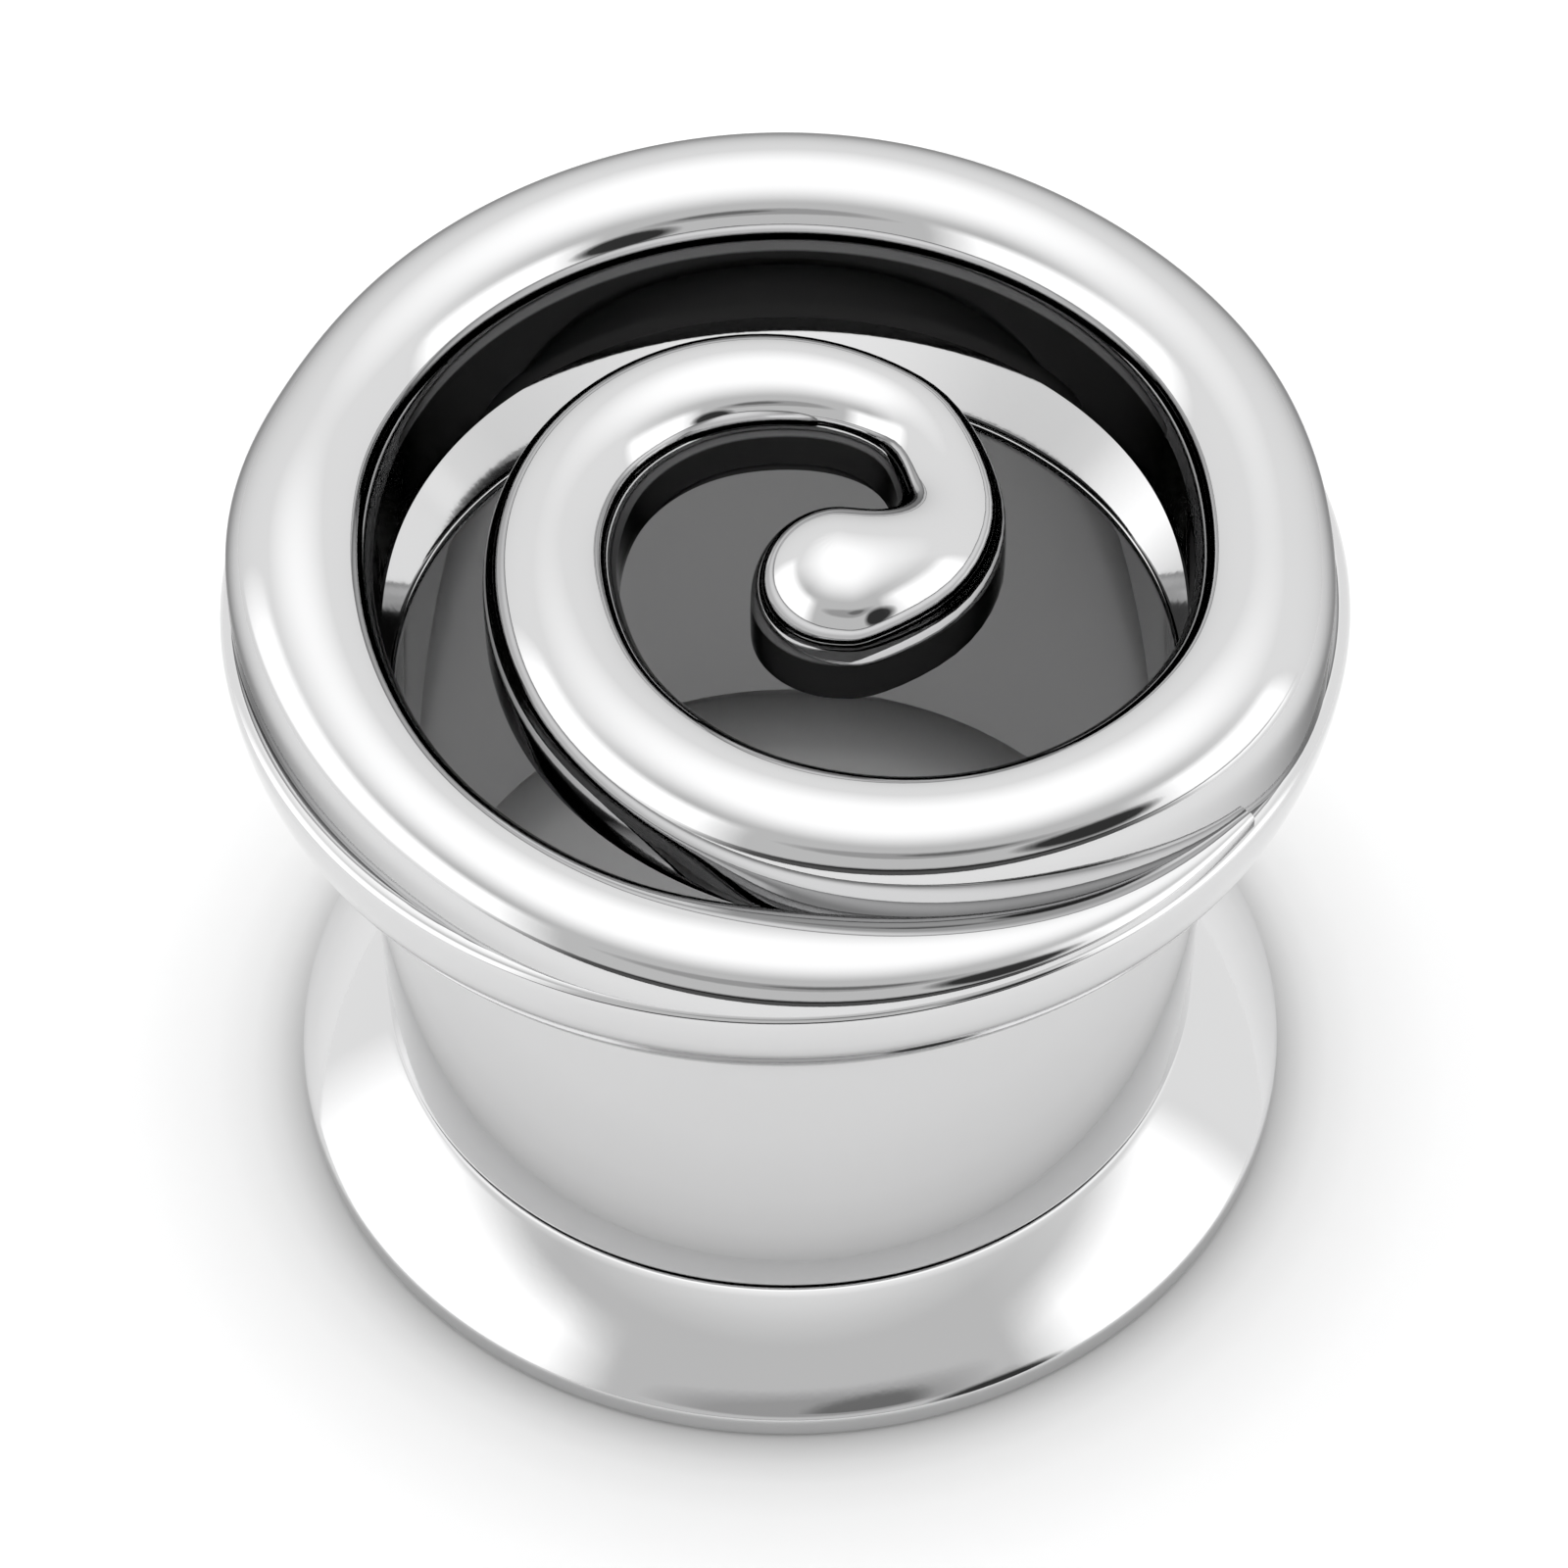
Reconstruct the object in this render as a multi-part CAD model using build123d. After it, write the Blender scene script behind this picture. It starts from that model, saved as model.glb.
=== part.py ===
from build123d import *
import os
from math import atan2, cos, degrees, radians, sin

# Spiral ear tunnel for a stretched ear lobe, polished steel, standing on its back flare.
# The front is one cast and soldered solid: a barrel for the lobe, a flare, and a round-topped bar
# that lies on the flare as a ring and then winds inwards over the opening to a hooked, rounded tip.
# The back flare screws on. Its plain spigot goes up inside the barrel to a shoulder.
# Millimetres, +Z up, origin at the middle of the back flare's foot.

# Barrel, on which the lobe sits
barrel_diameter = 12.70
barrel_length = 5.30
barrel_wall = 0.30
barrel_edge_bevel = 0.05

# Back flare
back_height = 1.80
back_reach = 1.47
back_rim_height = 0.44
back_rim_bevel = 0.08
back_mouth_reach = 1.52
seam_gap = 0.03

# Spigot of the back flare, a running fit inside the barrel
spigot_clearance = 0.05
spigot_wall = 0.28
spigot_end_bevel = 0.06
shoulder_gap = 0.06
shoulder_drop = 1.88

# Front flare
front_height = 3.47
front_reach = 1.75
front_waist_reach = 0.85
front_waist_height = 1.45
lip_round = 0.20

# Round-topped bar of the ring, the inner turn and the tip
bar_width = 2.14
bar_wall_height = 1.39
bar_sunk = 0.44
bar_inset = 0.22
bar_foot_inset = 0.08
tail_drop = 1.20
turn_rise = 0.50
bulb_width = 2.60
hook_reach = 2.40

barrel_radius = barrel_diameter / 2
barrel_bore = barrel_radius - barrel_wall
spigot_radius = barrel_bore - spigot_clearance
tunnel_radius = spigot_radius - spigot_wall
back_radius = barrel_radius + back_reach
back_mouth = tunnel_radius + back_mouth_reach
barrel_bottom = back_height + seam_gap
barrel_top = barrel_bottom + barrel_length
lip_radius = barrel_radius + front_reach
lip_level = barrel_top + front_height
shoulder_level = lip_level - shoulder_drop
spigot_top = shoulder_level - shoulder_gap
bar_bottom = lip_level - bar_sunk
bar_foot = bar_bottom + bar_wall_height
ring_radius = lip_radius - bar_inset
turn_bottom = bar_bottom + turn_rise
half_bar = bar_width / 2
bulb_radius = bulb_width / 2

# The bar's middle line, from the tail on the flare, once round as the ring and on as the inner turn.
# Columns: plan angle in degrees, radius as a share of ring_radius, half width as a share of half_bar,
# drop of the dome's foot as a share of tail_drop, rise of the underside as a share of turn_rise,
# how far the outer wall leans out to the flare's lip, from 0 for upright to 1.
BAR = [
    (323, 1.003, 0.09, 0.71, 0.0, 1.0),
    (305, 0.972, 0.37, 0.92, 0.0, 1.0),
    (287, 0.937, 0.65, 0.99, 0.0, 1.0),
    (270, 0.912, 0.81, 0.96, 0.0, 1.0),
    (250, 0.912, 0.78, 0.69, 0.0, 1.0),
    (227, 0.898, 0.77, 0.42, 0.0, 1.0),
    (205, 0.881, 0.89, 0.28, 0.0, 1.0),
    (180, 0.872, 1.00, 0.06, 0.0, 1.0),
    (158, 0.859, 0.91, 0.02, 0.0, 1.0),
    (135, 0.862, 0.92, 0.00, 0.0, 1.0),
    (90, 0.869, 0.98, 0.00, 0.0, 1.0),
    (45, 0.857, 0.89, 0.00, 0.0, 1.0),
    (22, 0.858, 0.89, 0.00, 0.0, 0.2),
    (0, 0.860, 0.92, 0.04, 0.0, 0.0),
    (-30, 0.879, 0.97, 0.11, 0.1, 0.0),
    (-60, 0.802, 0.84, 0.17, 0.6, 0.0),
    (-90, 0.694, 0.87, 0.17, 1.0, 0.0),
    (-120, 0.569, 0.90, 0.17, 1.0, 0.0),
    (-150, 0.466, 0.92, 0.17, 1.0, 0.0),
    (-180, 0.418, 0.89, 0.17, 1.0, 0.0),
    (-210, 0.400, 0.86, 0.17, 1.0, 0.0),
    (-240, 0.386, 0.86, 0.17, 1.0, 0.0),
    (-270, 0.372, 0.83, 0.17, 1.0, 0.0),
    (-300, 0.364, 0.72, 0.17, 1.0, 0.0),
    (-330, 0.355, 0.71, 0.17, 1.0, 0.0),
]
# The bar is lofted in three stretches, which meet at these plan angles. Each has evenly spaced sections.
ring_end_angle = 45
turn_end_angle = -150
turn_spacing = 1.5
tip_spacing = 0.65

# The hook at the tip, fanned about the notch inside it.
# Columns: x and y as shares of hook_reach, half width as a share of bulb_radius, heading in degrees.
HOOK = [
    (1.023, 0.258, 0.612, -90),
    (0.983, -0.058, 0.673, -120),
    (0.825, -0.333, 0.815, -150),
    (0.521, -0.506, 0.973, -180),
    (0.329, -0.492, 1.000, -180),
]


def bar_values(angle):
    """Radius, half width, foot level, bottom level and lean at a plan angle, smooth through the rows."""
    last = len(BAR) - 1
    k = next(i for i in range(last) if angle >= BAR[i + 1][0])
    before, here, after, beyond = BAR[max(k - 1, 0)], BAR[k], BAR[k + 1], BAR[min(k + 2, last)]
    t = (here[0] - angle) / (here[0] - after[0])
    values = []
    for column in range(1, 6):
        span = here[0] - after[0]
        slope_in = (after[column] - before[column]) / (before[0] - after[0]) * span
        slope_out = (beyond[column] - here[column]) / (here[0] - beyond[0]) * span
        gain = after[column] - here[column]
        values.append(
            here[column] + t * slope_in
            + t**2 * (3 * gain - 2 * slope_in - slope_out)
            + t**3 * (slope_in + slope_out - 2 * gain)
        )
    radius, half_width, drop, rise, lean = values
    foot = bar_foot - drop * tail_drop
    bottom = bar_bottom + rise * turn_rise
    return radius * ring_radius, half_width * half_bar, foot, bottom, lean


def bar_middle(angle):
    """Plan point of the bar's middle line at a plan angle."""
    radius = bar_values(angle)[0]
    return Vector(radius * cos(radians(angle)), radius * sin(radians(angle)))


def bar_section(middle, heading, half_width, foot, bottom, outward=0.0):
    """Upright section of the bar: flat bottom, two walls and a half-round top, facing the heading."""
    outer = Vector(-sin(radians(heading)), cos(radians(heading)))
    inner_bottom = middle - outer * half_width + Vector(0, 0, bottom)
    outer_bottom = middle + outer * (half_width + outward) + Vector(0, 0, bottom)
    outer_foot = middle + outer * half_width + Vector(0, 0, foot)
    inner_foot = middle - outer * half_width + Vector(0, 0, foot)
    crest = middle + Vector(0, 0, foot + half_width)
    outline = Wire([
        Edge.make_line(inner_bottom, outer_bottom),
        Edge.make_line(outer_bottom, outer_foot),
        Edge.make_three_point_arc(outer_foot, crest, inner_foot),
        Edge.make_line(inner_foot, inner_bottom),
    ])
    return Face(outline)


def turn_section(angle):
    """Section of the ring or of the inner turn at a plan angle, square to its middle line."""
    look = 0.5
    start = bar_middle(min(angle + look, BAR[0][0]))
    end = bar_middle(max(angle - look, BAR[-1][0]))
    heading = degrees(atan2(end.Y - start.Y, end.X - start.X))
    radius, half_width, foot, bottom, lean = bar_values(angle)
    to_lip = lip_radius - bar_foot_inset - radius - half_width
    return bar_section(bar_middle(angle), heading, half_width, foot, bottom, lean * to_lip)


def turn_sections(first, last, spacing):
    """Sections of the ring or the inner turn from one plan angle to another."""
    middle_radius = bar_values((first + last) / 2)[0]
    steps = round(radians(first - last) * middle_radius / spacing)
    return [turn_section(first + (last - first) * i / steps) for i in range(steps + 1)]


def hook_section(row):
    """Section of the hook from one row of its table."""
    x, y, half_width, heading = row
    middle = Vector(x * hook_reach, y * hook_reach)
    foot = bar_values(BAR[-1][0])[2]
    return bar_section(middle, heading, half_width * bulb_radius, foot, turn_bottom)


def hook_bulb():
    """Rounded end of the tip: half a post under half a dome, on the hook's last section."""
    x, y, half_width, heading = HOOK[-1]
    radius = half_width * bulb_radius
    foot = bar_values(BAR[-1][0])[2]
    across = cos(radians(45)) * radius
    outline = Wire([
        Edge.make_line((0, turn_bottom), (radius, turn_bottom)),
        Edge.make_line((radius, turn_bottom), (radius, foot)),
        Edge.make_three_point_arc((radius, foot), (across, foot + across), (0, foot + radius)),
        Edge.make_line((0, foot + radius), (0, turn_bottom)),
    ])
    upright = Plane(origin=(0, 0, 0), x_dir=(0, 1, 0), z_dir=(1, 0, 0))
    half = revolve(upright * Face(outline), axis=Axis.Z, revolution_arc=180)
    return Pos(x * hook_reach, y * hook_reach) * half


def front_shell():
    """Barrel and front flare, turned about Z."""
    bevel_top = (barrel_radius, barrel_bottom + barrel_edge_bevel)
    waist = (barrel_radius + front_waist_reach, barrel_top + front_waist_height)
    with BuildSketch(Plane.XZ) as outline:
        with BuildLine():
            Polyline(
                (barrel_bore, barrel_bottom),
                (barrel_radius - barrel_edge_bevel, barrel_bottom),
                bevel_top,
                (barrel_radius, barrel_top),
            )
            fillet = TangentArc((barrel_radius, barrel_top), waist, tangent=(0, 1))
            lip_side = (lip_radius, lip_level - lip_round)
            Spline(waist, lip_side, tangents=[fillet % 1, (0, 1)])
            TangentArc(lip_side, (lip_radius - lip_round, lip_level), tangent=(0, 1))
            Polyline(
                (lip_radius - lip_round, lip_level),
                (tunnel_radius, shoulder_level),
                (barrel_bore, shoulder_level),
                (barrel_bore, barrel_bottom),
            )
        make_face()
    return revolve(outline.sketch, axis=Axis.Z)


def spiral_front():
    """The whole front: barrel, flare, ring, inner turn and hooked tip as one solid."""
    ring = loft(turn_sections(BAR[0][0], ring_end_angle, turn_spacing))
    turn = loft(turn_sections(ring_end_angle, turn_end_angle, turn_spacing))
    coil = turn_sections(turn_end_angle, BAR[-1][0], tip_spacing)
    tip = loft(coil + [hook_section(row) for row in HOOK])
    return front_shell() + ring + turn + tip + hook_bulb()


def back_flare():
    """Back flare with its spigot, turned about Z."""
    with BuildSketch(Plane.XZ) as outline:
        with BuildLine():
            Polyline(
                (back_mouth, 0),
                (back_radius - back_rim_bevel, 0),
                (back_radius, back_rim_bevel),
                (back_radius, back_rim_height),
                (barrel_radius, back_height),
                (spigot_radius, back_height),
                (spigot_radius, spigot_top - spigot_end_bevel),
                (spigot_radius - spigot_end_bevel, spigot_top),
                (tunnel_radius + spigot_end_bevel, spigot_top),
                (tunnel_radius, spigot_top - spigot_end_bevel),
                (tunnel_radius, back_height),
                (back_mouth, 0),
            )
        make_face()
    return revolve(outline.sketch, axis=Axis.Z)


os.makedirs("parts", exist_ok=True)
PIECES = {"spiral_front": spiral_front, "back_flare": back_flare}
for node, make in PIECES.items():
    piece = make()
    piece.label = node
    export_step(piece, f"parts/{node}.step")
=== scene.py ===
# %% [markdown]
# # A spiral ear tunnel in polished steel
#
# The tunnel has two pieces. The front is cast and soldered into one: a straight barrel for the ear
# lobe, a flare like a dish, and a round-topped bar that lies on the flare's lip as a ring and then winds
# inwards over the opening to a hook. The back is a flare whose plain spigot goes up inside the barrel.
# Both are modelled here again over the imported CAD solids, in metres and in the same place.

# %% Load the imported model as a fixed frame
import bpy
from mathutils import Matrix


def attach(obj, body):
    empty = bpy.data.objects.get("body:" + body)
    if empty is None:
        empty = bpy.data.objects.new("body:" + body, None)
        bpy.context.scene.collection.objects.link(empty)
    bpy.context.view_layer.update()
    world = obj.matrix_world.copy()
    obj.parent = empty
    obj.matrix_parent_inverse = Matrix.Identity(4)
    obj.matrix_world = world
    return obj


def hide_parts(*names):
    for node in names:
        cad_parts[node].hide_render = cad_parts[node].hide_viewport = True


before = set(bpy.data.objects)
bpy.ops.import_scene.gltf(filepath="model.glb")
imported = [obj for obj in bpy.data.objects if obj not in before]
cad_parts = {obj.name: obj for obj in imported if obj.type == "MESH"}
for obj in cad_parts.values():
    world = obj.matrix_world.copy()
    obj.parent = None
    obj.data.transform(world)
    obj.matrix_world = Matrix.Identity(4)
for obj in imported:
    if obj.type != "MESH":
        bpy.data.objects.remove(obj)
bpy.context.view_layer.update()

# %% Blender's modules, and the working unit
from math import asin, atan2, cos, degrees, hypot, pi, radians, sin

import bpy
from mathutils import Vector

MM = 0.001
scene = bpy.context.scene
print("pieces of the frame", sorted(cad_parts))

# %% [markdown]
# ## The camera
#
# The object is looked at from about fifty degrees above, from seven centimetres away, so the perspective
# shows: the opening narrows downwards. A camera that is aimed by hand can be matched by its angle, its
# distance and its lens. The principal point isn't in the middle of the square picture, so a small shift
# moves the frame and leaves the perspective alone.

# %% Camera at the viewing angle of the picture
LOOK_DOWN = radians(51.25)
ROLL = radians(-0.70)
DISTANCE = 72.21 * MM
AIM_LEVEL = 1.797 * MM
# The frame's side, the focal length and the frame's shifts share one unit, a dot of the picture.
FRAME_SIDE = 860.0
FOCAL = 2500.0
SHIFT_RIGHT = -2.9
SHIFT_UP = 95.7

camera_data = bpy.data.cameras.new("camera")
camera = bpy.data.objects.new("camera", camera_data)
scene.collection.objects.link(camera)
camera.location = (0, -DISTANCE * cos(LOOK_DOWN), AIM_LEVEL + DISTANCE * sin(LOOK_DOWN))
camera.rotation_euler = (pi / 2 - LOOK_DOWN, 0, 0)
camera.rotation_euler.rotate_axis("Z", ROLL)
camera_data.sensor_width = 36
camera_data.lens = 36 * FOCAL / FRAME_SIDE
camera_data.shift_x = SHIFT_RIGHT / FRAME_SIDE
camera_data.shift_y = SHIFT_UP / FRAME_SIDE
camera_data.clip_start = 1 * MM
scene.camera = camera
scene.view_settings.view_transform = "Standard"
print("lens", round(camera_data.lens, 1), "mm")

# %% [markdown]
# ## Shader expressions
#
# A material is a graph of nodes, and long graphs are hard to read as code. One small class wraps a socket
# and overloads the operators, so that a line such as 1 - mask * 0.2 adds its own Math nodes. Any other
# node comes from one method that takes the node's type, its settings and its sockets' values.

# %% A socket that can be reckoned with
class Wire:
    """One output socket of a node tree, with operators that add Math nodes."""

    def __init__(self, tree, socket):
        self.tree, self.socket = tree, socket

    @staticmethod
    def node(tree, kind, settings=None, sockets=None, output=0):
        """Adds a node, sets its settings first and then its sockets, and wraps one of its outputs."""
        made = tree.nodes.new(kind)
        for name, value in (settings or {}).items():
            if name == "stops":
                ramp = made.color_ramp.elements
                while len(ramp) < len(value):
                    ramp.new(0.5)
                for element, (place, tone) in zip(ramp, value):
                    element.position = place
                    element.color = (tone, tone, tone, 1)
            else:
                setattr(made, name, value)
        for name, value in (sockets or {}).items():
            if isinstance(value, Wire):
                tree.links.new(value.socket, made.inputs[name])
            else:
                made.inputs[name].default_value = value
        return Wire(tree, made.outputs[output])

    def math(self, operation, *others):
        """A Math node on this socket and the others."""
        sockets = dict(enumerate((self, *others)))
        return Wire.node(self.tree, "ShaderNodeMath", {"operation": operation}, sockets)

    def __add__(self, other):
        return self.math("ADD", other)

    def __sub__(self, other):
        return self.math("SUBTRACT", other)

    def __mul__(self, other):
        return self.math("MULTIPLY", other)

    def __truediv__(self, other):
        return self.math("DIVIDE", other)

    def __rsub__(self, other):
        return Wire.node(self.tree, "ShaderNodeMath", {"operation": "SUBTRACT"}, {0: other, 1: self})

    __radd__ = __add__
    __rmul__ = __mul__

    def ramp(self, *stops):
        """A Color Ramp of grey tones through (place, tone) stops."""
        return Wire.node(self.tree, "ShaderNodeValToRGB", {"stops": stops}, {0: self})


print("shader expressions are ready")

# %% [markdown]
# ## Turning on the lathe
#
# The barrel, both flares and the spigot are turned, so each is a closed outline swept round the upright
# axis. In Blender a circle is added on the outline's first point and extruded from point to point, each
# ring being raised and resized. Spinning an outline would do too, but rings keep every radius readable.
# Polished metal mirrors every slip of a normal, so a support ring stands close to each end of a long run,
# and real edges get a small bevel instead of a knife edge.

# %% Sizes that the pieces share, in millimetres
BARREL_RADIUS = 6.35
BARREL_BORE = 6.05
TUNNEL_RADIUS = 5.73
SPIGOT_RADIUS = 6.00
BACK_RADIUS = 7.82
BACK_LEVEL = 1.80
BARREL_FOOT = 1.88
BARREL_TOP = 7.13
SHOULDER_LEVEL = 8.72
LIP_RADIUS = 8.10
LIP_LEVEL = 10.60
LIP_ROUND = 0.20
print("barrel", 2 * BARREL_RADIUS, "mm, seam", round(BARREL_FOOT - BACK_LEVEL, 2), "mm wide")


# %% Finish a piece with bevels and smooth shading
def finish_mesh(piece, bevel=0.0, smooth_below=35):
    """Bevels a piece's sharp edges by a width in mm, and shades all but the remaining edges smooth."""
    bpy.ops.object.select_all(action="DESELECT")
    piece.select_set(True)
    bpy.context.view_layer.objects.active = piece
    if bevel:
        bpy.ops.object.modifier_add(type="BEVEL")
        edge = piece.modifiers[-1]
        edge.width = bevel * MM
        edge.segments = 3
        edge.limit_method = "ANGLE"
        edge.angle_limit = radians(25)
        bpy.ops.object.modifier_apply(modifier=edge.name)
    bpy.ops.object.shade_smooth_by_angle(angle=radians(smooth_below))
    bpy.ops.object.modifier_add(type="WEIGHTED_NORMAL")
    piece.modifiers[-1].keep_sharp = True
    bpy.ops.object.modifier_apply(modifier=piece.modifiers[-1].name)
    print(piece.name, "has", len(piece.data.polygons), "faces")
    return piece


print("pieces can be finished")


# %% Sweep an outline round the upright axis
def supported(outline, reach=0.09, longest=0.6):
    """The closed outline with points added near both ends of its long runs and evenly between them."""
    full = []
    for (r0, z0), (r1, z1) in zip(outline, outline[1:] + outline[:1]):
        length = hypot(r1 - r0, z1 - z0)
        full.append((r0, z0))
        if length > 3 * reach:
            parts = max(1, round((length - 2 * reach) / longest))
            stops = [(reach + (length - 2 * reach) * i / parts) / length for i in range(parts + 1)]
            full += [(r0 + (r1 - r0) * t, z0 + (z1 - z0) * t) for t in stops]
    return full


def turn(name, outline, sides=256):
    """Sweeps a closed outline of (radius, level) points round the upright axis, ring after ring."""
    bpy.ops.object.select_all(action="DESELECT")
    radius, level = outline[0]
    bpy.ops.mesh.primitive_circle_add(vertices=sides, radius=radius * MM, location=(0, 0, 0))
    piece = bpy.context.active_object
    piece.name = name
    bpy.ops.object.mode_set(mode="EDIT")
    bpy.ops.transform.translate(value=(0, 0, level * MM))
    for next_radius, next_level in outline[1:] + outline[:1]:
        rise = (0, 0, (next_level - level) * MM)
        bpy.ops.mesh.extrude_edges_move(TRANSFORM_OT_translate={"value": rise})
        grow = next_radius / radius
        bpy.ops.transform.resize(value=(grow, grow, 1), center_override=(0, 0, 0))
        radius, level = next_radius, next_level
    bpy.ops.mesh.select_all(action="SELECT")
    bpy.ops.mesh.remove_doubles(threshold=0.0005 * MM)
    bpy.ops.mesh.normals_make_consistent(inside=False)
    bpy.ops.object.mode_set(mode="OBJECT")
    return piece


print("the lathe is ready")

# %% [markdown]
# ## The front's barrel and flare
#
# The flare leaves the barrel in a hollow curve and bends outwards to stand upright at the lip, an ogee.
# Inside it is a plain dish, a straight cone from the lip down to the shoulder that the spigot meets.
# An ogee could be drawn point by point, but here it is worked out from one arc and one smooth curve that
# start and end in the right direction, so a change of the waist keeps it fair.

# %% Outline of the barrel and the flare
FLARE_WAIST = (7.20, 8.58)


def flare_outline(steps=22):
    """Points of the ogee: an arc off the barrel, a curve that ends upright, and the lip's round."""
    lip_side = LIP_LEVEL - LIP_ROUND
    waist_radius, waist_level = FLARE_WAIST
    out, up = waist_radius - BARREL_RADIUS, waist_level - BARREL_TOP
    arc = (out * out + up * up) / (2 * out)
    turned = asin(up / arc)
    points = []
    for i in range(1, steps):
        a = turned * i / steps
        points.append((BARREL_RADIUS + arc * (1 - cos(a)), BARREL_TOP + arc * sin(a)))
    chord = hypot(LIP_RADIUS - waist_radius, lip_side - waist_level)
    for i in range(steps):
        t = i / steps
        h0, h1, h2 = 2 * t**3 - 3 * t**2 + 1, t**3 - 2 * t**2 + t, 3 * t**2 - 2 * t**3
        h3 = t**3 - t**2
        r = h0 * waist_radius + h1 * chord * sin(turned) + h2 * LIP_RADIUS
        z = h0 * waist_level + h1 * chord * cos(turned) + h2 * lip_side + h3 * chord
        points.append((r, z))
    lip_steps = 9
    for i in range(lip_steps):
        a = pi / 2 * i / lip_steps
        points.append((LIP_RADIUS - LIP_ROUND * (1 - cos(a)), lip_side + LIP_ROUND * sin(a)))
    return points


# Each run is supported as a closed outline, and then cut off where the next run takes over.
front_outline = supported([
    (BARREL_BORE, BARREL_FOOT),
    (BARREL_RADIUS, BARREL_FOOT),
    (BARREL_RADIUS, BARREL_TOP),
])
front_outline = front_outline[:front_outline.index((BARREL_RADIUS, BARREL_TOP)) + 1]
dish = supported([
    (LIP_RADIUS - LIP_ROUND, LIP_LEVEL),
    (TUNNEL_RADIUS, SHOULDER_LEVEL),
    (BARREL_BORE, SHOULDER_LEVEL),
    (BARREL_BORE, BARREL_FOOT),
])
dish = dish[:dish.index((BARREL_BORE, BARREL_FOOT))]
flared_barrel = turn("flared_barrel", front_outline + flare_outline() + dish)
finish_mesh(flared_barrel, bevel=0.035)

# %% [markdown]
# ## The back flare and its spigot
#
# The back is a cone that narrows from a thin upright rim to the barrel. A turned and polished cone is
# never quite straight, so its run is crowned by a twentieth of a millimetre, which softens what it
# mirrors. The spigot is a tube that goes up inside the barrel. Its end is rounded inside and out, which
# is the thin bright line round the opening when the tunnel is looked into. Seen from below the back opens
# like a funnel.

# %% Turn the back flare
RIM_TOP = 0.44
CROWN = 0.05
SPIGOT_TOP = 8.66


def crowned(start, end, bulge, steps=16):
    """Points of a shallow arc that stands out by bulge from the straight run between two points."""
    out, up = end[0] - start[0], end[1] - start[1]
    points = []
    for i in range(steps + 1):
        t = i / steps
        away = 4 * bulge * t * (1 - t) / hypot(out, up)
        points.append((start[0] + out * t + up * away, start[1] + up * t - out * away))
    return points


back_outline = supported([
    (7.24, 0.0),
    (BACK_RADIUS - 0.08, 0.0),
    (BACK_RADIUS, 0.08),
    *crowned((BACK_RADIUS, RIM_TOP), (BARREL_RADIUS, BACK_LEVEL), CROWN),
    (SPIGOT_RADIUS, BACK_LEVEL),
    (SPIGOT_RADIUS, SPIGOT_TOP - 0.06),
    (SPIGOT_RADIUS - 0.05, SPIGOT_TOP),
    (TUNNEL_RADIUS + 0.06, SPIGOT_TOP),
    (TUNNEL_RADIUS, SPIGOT_TOP - 0.08),
    (TUNNEL_RADIUS, BACK_LEVEL),
])
back_plug = turn("back_plug", back_outline)
finish_mesh(back_plug, bevel=0.05)

# %% [markdown]
# ## The spiral bar
#
# The bar has upright walls and a half-round top, like half-round wire stood on its edge. It starts as a
# thin tail low on the near right of the lip, swells as it goes clockwise, makes the ring, passes inside
# its own tail and winds in to a hook with a round end. A curve with a bevel would give a bar of one
# section, but here the width and the height both change, so one closed section is extruded station by
# station along a table, turned and resized each time. The corners of the underside are set to their
# levels afterwards, because the top grows in proportion and the walls don't.

# %% Table of the bar's middle line
BAR_BOTTOM = 10.16
BAR_FOOT = 11.35
# Columns: plan angle in degrees, radius, half width, level of the arch's feet and rise of the underside.
COIL = [
    (323, 7.90, 0.1, 10.70, 0.00),
    (305, 7.66, 0.4, 10.45, 0.00),
    (287, 7.38, 0.7, 10.36, 0.00),
    (270, 7.19, 0.87, 10.40, 0.00),
    (250, 7.19, 0.83, 10.72, 0.00),
    (227, 7.08, 0.82, 11.05, 0.00),
    (205, 6.94, 0.95, 11.22, 0.00),
    (180, 6.87, 1.07, 11.48, 0.00),
    (158, 6.77, 0.975, 11.53, 0.00),
    (135, 6.79, 0.985, 11.55, 0.00),
    (90, 6.85, 1.05, 11.55, 0.00),
    (45, 6.75, 0.953, 11.55, 0.00),
    (22, 6.76, 0.955, 11.55, 0.00),
    (0, 6.78, 0.984, 11.50, 0.00),
    (-30, 6.93, 1.04, 11.42, 0.05),
    (-60, 6.32, 0.896, 11.35, 0.30),
    (-90, 5.47, 0.93, 11.35, 0.50),
    (-120, 4.48, 0.96, 11.35, 0.50),
    (-150, 3.67, 0.98, 11.35, 0.50),
    (-180, 3.29, 0.95, 11.35, 0.50),
    (-210, 3.15, 0.92, 11.35, 0.50),
    (-240, 3.04, 0.92, 11.35, 0.50),
    (-270, 2.93, 0.885, 11.35, 0.50),
    (-300, 2.87, 0.77, 11.35, 0.50),
    (-330, 2.80, 0.76, 11.35, 0.50),
]
# The hook, fanned about the notch inside it. Columns: x, y, half width in mm, heading in degrees.
HOOK = [
    (2.46, 0.62, 0.795, -90),
    (2.36, -0.14, 0.875, -120),
    (1.98, -0.8, 1.06, -150),
    (1.25, -1.22, 1.26, -180),
    (0.79, -1.18, 1.3, -180),
]
print(len(COIL), "rows of the coil and", len(HOOK), "of the hook")


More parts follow.
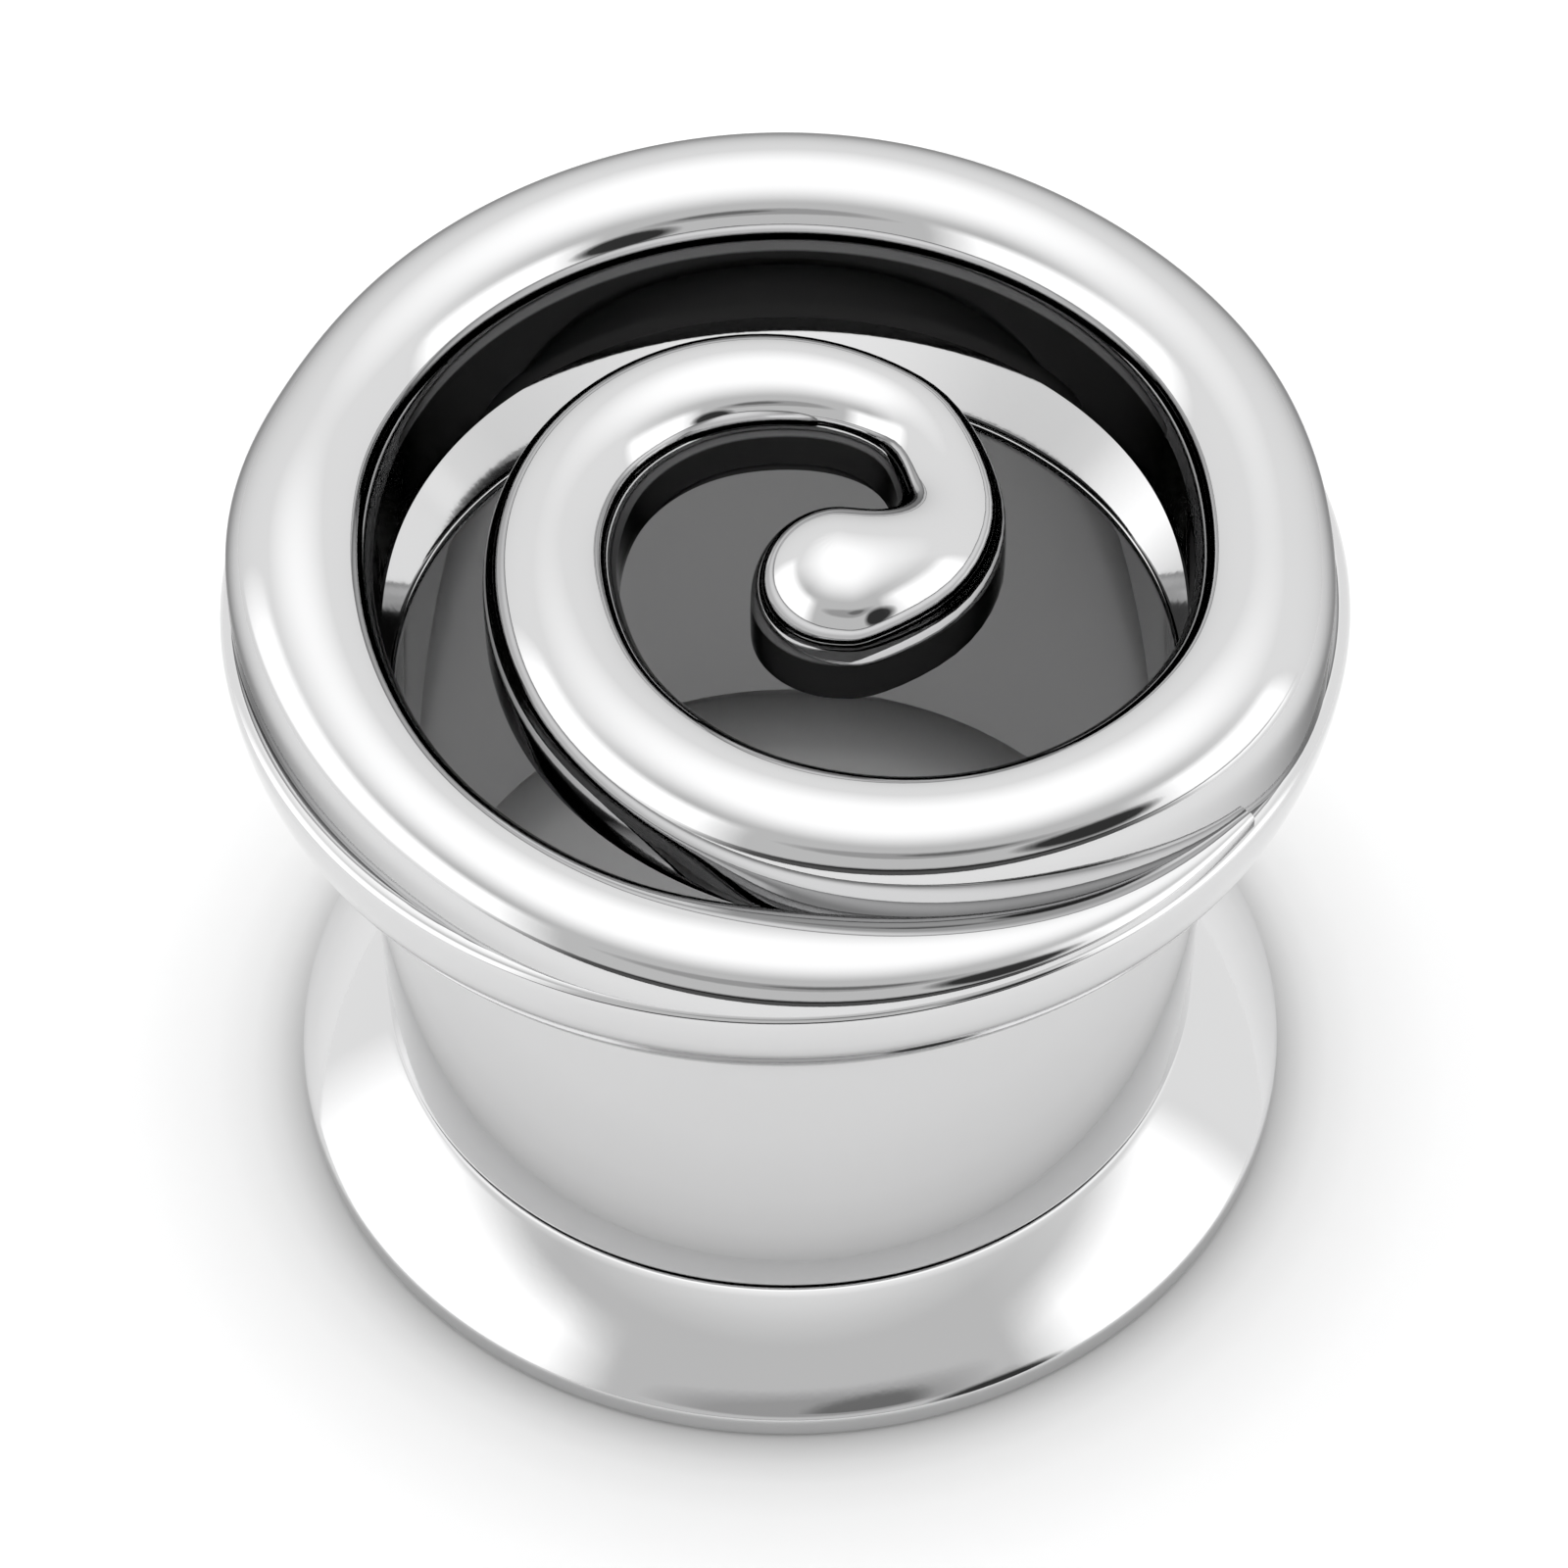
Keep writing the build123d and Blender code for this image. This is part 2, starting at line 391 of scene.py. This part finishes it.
# %% The middle line between the rows
def coil_values(angle):
    """Radius, half width, foot level and rise at a plan angle, smooth through the table's rows."""
    last = len(COIL) - 1
    k = next(i for i in range(last) if angle >= COIL[i + 1][0])
    before, here, after, beyond = COIL[max(k - 1, 0)], COIL[k], COIL[k + 1], COIL[min(k + 2, last)]
    span = here[0] - after[0]
    t = (here[0] - angle) / span
    values = []
    for column in (1, 2, 3, 4):
        slope_in = (after[column] - before[column]) / (before[0] - after[0]) * span
        slope_out = (beyond[column] - here[column]) / (here[0] - beyond[0]) * span
        gain = after[column] - here[column]
        bend = t**2 * (3 * gain - 2 * slope_in - slope_out) + t**3 * (slope_in + slope_out - 2 * gain)
        values.append(here[column] + t * slope_in + bend)
    return values


def coil_point(angle):
    """Plan point of the middle line at a plan angle."""
    radius = coil_values(angle)[0]
    return radius * cos(radians(angle)), radius * sin(radians(angle))


def coil_stations(spacing=0.75):
    """Stations of (x, y, foot level, half width, heading, rise), evenly spaced from tail to hook."""
    made, angle, end = [], COIL[0][0], COIL[-1][0]
    while angle > end + 0.6 * degrees(spacing / coil_values(end)[0]):
        x, y = coil_point(angle)
        x0, y0 = coil_point(min(angle + 0.5, COIL[0][0]))
        x1, y1 = coil_point(angle - 0.5)
        radius, half_width, foot, rise = coil_values(angle)
        made.append((x, y, foot, half_width, degrees(atan2(y1 - y0, x1 - x0)), rise))
        angle -= degrees(spacing / radius)
    rise = COIL[-1][4]
    return made + [(x, y, BAR_FOOT, half_width, heading, rise) for x, y, half_width, heading in HOOK]


stations = coil_stations()
print(len(stations), "stations")

# %% Selections by place, for edit mode
import bmesh


def choose(piece, test, kind="EDGE"):
    """In edit mode, selects the vertices or edges that a test accepts, and nothing else."""
    mesh = bmesh.from_edit_mesh(piece.data)
    bpy.ops.mesh.select_mode(type=kind)
    bpy.ops.mesh.select_all(action="DESELECT")
    chosen = [part for part in (mesh.verts if kind == "VERT" else mesh.edges) if test(part)]
    for part in chosen:
        part.select_set(True)
    mesh.select_flush_mode()
    bmesh.update_edit_mesh(piece.data)
    return len(chosen)


print("edges and vertices can be chosen by place")

# %% Draw the first section
ARCH_SIDES = 24
x, y, foot, half_width, heading, rise = stations[0]
bpy.ops.object.select_all(action="DESELECT")
bpy.ops.mesh.primitive_circle_add(
    vertices=ARCH_SIDES,
    radius=half_width * MM,
    location=(x * MM, y * MM, foot * MM),
    rotation=(pi / 2, 0, radians(heading + 90)),
)
spiral_bar = bpy.context.active_object
spiral_bar.name = "spiral_bar"
bpy.ops.object.transform_apply(location=True, rotation=True, scale=True)
bpy.ops.object.mode_set(mode="EDIT")
choose(spiral_bar, lambda vertex: vertex.co.z < (foot - 0.001) * MM, "VERT")
bpy.ops.mesh.delete(type="VERT")
choose(spiral_bar, lambda vertex: vertex.co.z < (foot + 0.001) * MM, "VERT")
to_bottom = (0, 0, (BAR_BOTTOM - foot) * MM)
bpy.ops.mesh.extrude_vertices_move(TRANSFORM_OT_translate={"value": to_bottom})
bpy.ops.mesh.edge_face_add()
bpy.ops.mesh.subdivide(number_cuts=1)
print("the section has", len(bmesh.from_edit_mesh(spiral_bar.data).verts), "points")

# %% Sweep it along the stations
bpy.ops.mesh.select_mode(type="EDGE")
bpy.ops.mesh.select_all(action="SELECT")
for here, there in zip(stations, stations[1:]):
    step = [(there[i] - here[i]) * MM for i in range(3)]
    centre = Vector(there[:3]) * MM
    turned = radians((there[4] - here[4] + 180) % 360 - 180)
    grow = there[3] / here[3]
    bpy.ops.mesh.extrude_edges_move(TRANSFORM_OT_translate={"value": step})
    bpy.ops.transform.rotate(value=-turned, orient_axis="Z", center_override=centre)
    bpy.ops.transform.resize(value=(grow, grow, grow), center_override=centre)
print("the bar has", len(bmesh.from_edit_mesh(spiral_bar.data).verts), "points")

# %% [markdown]
# ## The underside, the round end and the tail's end
#
# At each station the three low points are flattened on one level, which makes every wall as high as it
# is on the real bar: the inner turn hangs free and is less deep than the ring. The tip ends in half
# a post under a quarter of a ball, so half of the last section is spun half a turn about the upright line
# through its middle, and lands on the section's other half. The tail's first section is simply filled.

# %% Set the underside's levels
lowered = 0
for x, y, foot, half_width, heading, rise in stations:
    ahead = Vector((cos(radians(heading)), sin(radians(heading)), 0))
    middle = Vector((x, y, 0))

    def low_in_section(vertex):
        place = Vector((vertex.co.x, vertex.co.y, 0)) / MM - middle
        low = vertex.co.z / MM < foot - 0.02
        return low and abs(place.dot(ahead)) < 0.002 and place.length < half_width + 0.002

    lowered += choose(spiral_bar, low_in_section, "VERT")
    bpy.ops.transform.resize(value=(1, 1, 0), center_override=(0, 0, (BAR_BOTTOM + rise) * MM))
print(lowered, "low points set")

# %% Spin the round end, fill the tail's end and round the edges
x, y, foot, half_width, heading, rise = stations[-1]
tip_centre = Vector((x, y, foot)) * MM
tip_ahead = Vector((cos(radians(heading)), sin(radians(heading)), 0))
tip_side = Vector((-tip_ahead.y, tip_ahead.x, 0))


def on_half_section(edge):
    """True for the last section's edges on the side that the spin starts from."""
    middle = (edge.verts[0].co + edge.verts[1].co) / 2 - tip_centre
    flat = max(abs((vertex.co - tip_centre).dot(tip_ahead)) for vertex in edge.verts)
    near = middle.length < 1.1 * half_width * MM
    return near and flat < 0.002 * MM and middle.dot(tip_side) > 0.002 * MM


halves = choose(spiral_bar, on_half_section)
bpy.ops.mesh.spin(steps=ARCH_SIDES // 2, angle=pi, center=tip_centre, axis=(0, 0, 1))
bpy.ops.mesh.select_all(action="SELECT")
bpy.ops.mesh.remove_doubles(threshold=0.002 * MM)
choose(spiral_bar, lambda edge: edge.is_boundary)
bpy.ops.mesh.edge_face_add()
bpy.ops.mesh.select_all(action="SELECT")
bpy.ops.mesh.normals_make_consistent(inside=False)
bpy.ops.mesh.select_all(action="DESELECT")
bpy.ops.mesh.edges_select_sharp(sharpness=radians(60))
bpy.ops.transform.edge_crease(value=1)
shell = bmesh.from_edit_mesh(spiral_bar.data)
open_edges = sum(edge.is_boundary or not edge.is_manifold for edge in shell.edges)
reach = min(vertex.co.x for vertex in shell.verts if (vertex.co - tip_centre).length < 2 * MM) / MM
print(halves, "edges spun;", open_edges, "open edges; the tip reaches", round(reach, 2), "mm")
bpy.ops.object.mode_set(mode="OBJECT")
bpy.ops.object.modifier_add(type="SUBSURF")
smooth = spiral_bar.modifiers[-1]
smooth.levels = smooth.render_levels = 2
bpy.ops.object.modifier_apply(modifier=smooth.name)
finish_mesh(spiral_bar, bevel=0.03)

# %% [markdown]
# ## Polished steel
#
# Mirror-polished surgical steel is a neutral grey metal, a little darker than silver. Its polish isn't
# perfect: fine wiping marks and faint clouds spread the reflections by a degree or so. The roughness
# follows a soft noise, and a very low bump keeps the mirror from looking like computer glass.
# A mask over the piece's own coordinates paints shade into the colour of the upright walls inside the
# spiral, so the recess looks dim. The bar also gets a dark tint at grazing angles, as a thin outline.

# %% Painted shade on the walls inside the spiral
RING_FOOT_RISE = 0.17


def painted_recess_shade(place):
    """Mask of painted shade: 1 on the upright walls inside the spiral, and 0 elsewhere."""
    x, y, z = (
        Wire.node(place.tree, "ShaderNodeSeparateXYZ", sockets={0: place}, output=axis) / MM
        for axis in "XYZ"
    )
    # A ramp reads 0 to 1, so the plan distances are taken in centimetres.
    radius = (x * x + y * y).math("SQRT") / 10
    foot = radius.ramp((0.53, 0), (0.56, 1)) * RING_FOOT_RISE + (BAR_FOOT + 0.02)
    below_foot = (foot - z).ramp((0.0, 0), (0.05, 1))
    above_dish = (z - (BAR_BOTTOM - 0.06)).ramp((0.0, 0), (0.05, 1))
    inside = radius.ramp((0.73, 1), (0.75, 0)) * (y / 10 + 0.5).ramp((0.17, 0), (0.24, 1))
    return below_foot * above_dish * inside


print("the mask of the walls is ready")


# %% The steel's material
def steel(name, grey, roughness, wear, edge=1.0, recess_shade=0.0):
    """Polished steel: noise drives small changes of tone and roughness, and a low bump."""
    material = bpy.data.materials.new(name)
    material.use_nodes = True
    tree = material.node_tree
    shader = tree.nodes["Principled BSDF"]
    place = Wire.node(tree, "ShaderNodeTexCoord", output="Object")
    clouds = Wire.node(
        tree, "ShaderNodeTexNoise", sockets={"Vector": place, "Scale": 350.0, "Detail": 3.0}
    )
    marks = Wire.node(
        tree, "ShaderNodeTexNoise", sockets={"Vector": place, "Scale": 9000.0, "Detail": 2.0}
    )
    tone = grey + (clouds - 0.5) * 0.02
    # Painted shade: the mask darkens the colour of the walls inside the spiral.
    if recess_shade:
        tone = tone * (1 - painted_recess_shade(place) * recess_shade)
    colour = Wire.node(
        tree, "ShaderNodeCombineColor", sockets={"Red": tone, "Green": tone, "Blue": tone * 1.004}
    )
    polish = roughness + (clouds - 0.5) * wear + (marks - 0.5) * wear * 0.5
    bump = Wire.node(
        tree, "ShaderNodeBump", sockets={"Strength": 0.02, "Distance": 0.00001, "Height": marks}
    )
    tree.links.new(colour.socket, shader.inputs["Base Color"])
    tree.links.new(polish.socket, shader.inputs["Roughness"])
    tree.links.new(bump.socket, shader.inputs["Normal"])
    shader.inputs["Metallic"].default_value = 1.0
    shader.inputs["Specular Tint"].default_value = (edge, edge, edge, 1)
    return material


barrel_steel = steel("barrel_steel", grey=0.63, roughness=0.045, wear=0.02)
# The bar's steel carries the painted shade on the walls inside the spiral.
spiral_steel = steel("spiral_steel", grey=0.63, roughness=0.035, wear=0.02, edge=0.3, recess_shade=0.88)
print("steel for the turned pieces and for the bar")

# %% Dress the pieces, and hang them on their bodies
for piece, body, node, metal in (
    (flared_barrel, "front", "spiral_front", barrel_steel),
    (spiral_bar, "front", "spiral_front", spiral_steel),
    (back_plug, "back", "back_flare", barrel_steel),
):
    piece.data.materials.append(metal)
    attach(piece, body)
    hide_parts(node)
print("steel on three pieces")

# %% [markdown]
# ## Floor and studio
#
# A mirror shows its room, so the room is the lighting. The tunnel stands on a small white table in a
# white light tent. The paper is toned darker in a soft ring about the foot, because light this even
# leaves hardly any shadow of its own, and without one the tunnel would seem to float.

# %% The table
TABLE_SIDE = 160
SHADE_START = 7.0
SHADE_REACH = 5.0
bpy.ops.object.select_all(action="DESELECT")
bpy.ops.mesh.primitive_plane_add(size=TABLE_SIDE * MM, location=(0, 0, 0))
table = bpy.context.active_object
table.name = "table"
paper = bpy.data.materials.new("white_table")
paper.use_nodes = True
tree = paper.node_tree
place = Wire.node(tree, "ShaderNodeTexCoord", output="Object")
grain = Wire.node(tree, "ShaderNodeTexNoise", sockets={"Vector": place, "Scale": 40.0})
x, y = (
    Wire.node(tree, "ShaderNodeSeparateXYZ", sockets={0: place}, output=axis) / MM for axis in "XY"
)
away = ((x * x + y * y).math("SQRT") - SHADE_START) / SHADE_REACH
shade = away.ramp(
    (0.12, 0), (0.16, 0.45), (0.20, 0.36), (0.26, 0.22), (0.33, 0.12), (0.45, 0.05), (0.70, 0)
)
tone = (0.93 + (grain - 0.5) * 0.01) * (1 - shade)
colour = Wire.node(
    tree, "ShaderNodeCombineColor", sockets={"Red": tone, "Green": tone, "Blue": tone}
)
shader = tree.nodes["Principled BSDF"]
tree.links.new(colour.socket, shader.inputs["Base Color"])
shader.inputs["Roughness"].default_value = 0.9
table.data.materials.append(paper)
print("table", tuple(round(v, 2) for v in table.dimensions))

# %% [markdown]
# ## The light tent
#
# The tent's brightness is worked out from the direction alone, as bearing from the camera and rise above
# the table. It could be a set of lamps and screens, but then every mirrored lamp would need its own mesh.
# It is brightest overhead, with a window on each side and a greyer wall in front. Three dark patches, a
# thin line at the horizon and a dark pit below it give the steel its crisp dark accents.

# %% Bearing and rise of a direction
world = bpy.data.worlds.new("light_tent")
scene.world = world
world.use_nodes = True
tree = world.node_tree
tree.nodes.clear()
direction = Wire.node(tree, "ShaderNodeTexCoord", output="Generated")
x, y, z = (
    Wire.node(tree, "ShaderNodeSeparateXYZ", sockets={0: direction}, output=axis) for axis in "XYZ"
)
bearing = x.math("ARCTAN2", y * -1) / (2 * pi) + 0.5
rise = z.math("ARCSINE") / pi + 0.5


def across(*stops):
    """A profile over the bearing, in degrees right of the camera."""
    return bearing.ramp(*[(0.5 + degree / 360, tone) for degree, tone in stops])


def upward(*stops):
    """A profile over the rise above the table's level, in degrees."""
    return rise.ramp(*[(0.5 + degree / 180, tone) for degree, tone in stops])


def spot(degree, height, half_width, half_height):
    """A soft-edged oval patch about a bearing and a rise, in degrees."""
    along = (bearing - (0.5 + degree / 360)) * (360 / half_width)
    up = (rise - (0.5 + height / 180)) * (180 / half_height)
    return (along * along + up * up).ramp((0.4, 1), (1.0, 0))


print("directions can be told apart")

# %% Walls, windows and dark patches
SIDE_WALL = 1.12
FRONT_WALL = 0.75
LAMP = 1.65
front = across((-100, 0), (-60, 1), (45, 1), (105, 0)) * upward((-3, 0), (0, 1), (44, 1), (75, 0))
overhead = upward((40, 0), (52, 0.4), (64, 0.8), (74, 1))
left = across((-118, 0), (-108, 1), (-50, 1), (-36, 0)) * upward((-3, 0), (0, 1), (29, 1), (37, 0))
right = across((44, 0), (58, 1), (95, 1), (102, 0)) * upward((-6, 0), (-2, 1), (27, 1), (35, 0))
patches = (1 - spot(38, 13, 15, 12)) * (1 - spot(5, 26, 36, 6) * 0.4) * (1 - spot(14, 27, 14, 3) * 0.6)
pit = spot(4, -4, 62, 8)
horizon = upward((-1.5, 0), (-0.5, 1), (0.5, 1), (1.5, 0)) * across(
    (-86, 0), (-40, 0.4), (-8, 0.9), (42, 0.9), (86, 0.6), (104, 0)
)
wall = SIDE_WALL - front * (SIDE_WALL - FRONT_WALL)
lamps = 1 - (1 - overhead) * (1 - left) * (1 - right)
glow = (wall + lamps * (LAMP - wall)) * (1 - horizon) * (1 - pit * 0.9) * (0.06 + patches * 0.94)
print("the tent is brightest at", LAMP)

# %% Light the world, white where the camera sees past the table
tent = Wire.node(tree, "ShaderNodeBackground", sockets={"Color": glow})
white = Wire.node(tree, "ShaderNodeBackground", sockets={"Color": (1, 1, 1, 1)})
seen = Wire.node(tree, "ShaderNodeLightPath", output="Is Camera Ray")
mixed = Wire.node(tree, "ShaderNodeMixShader", sockets={0: seen, 1: tent, 2: white})
output = tree.nodes.new("ShaderNodeOutputWorld")
tree.links.new(mixed.socket, output.inputs["Surface"])
scene.cycles.max_bounces = 8
scene.cycles.glossy_bounces = 4
print("the tent is lit")
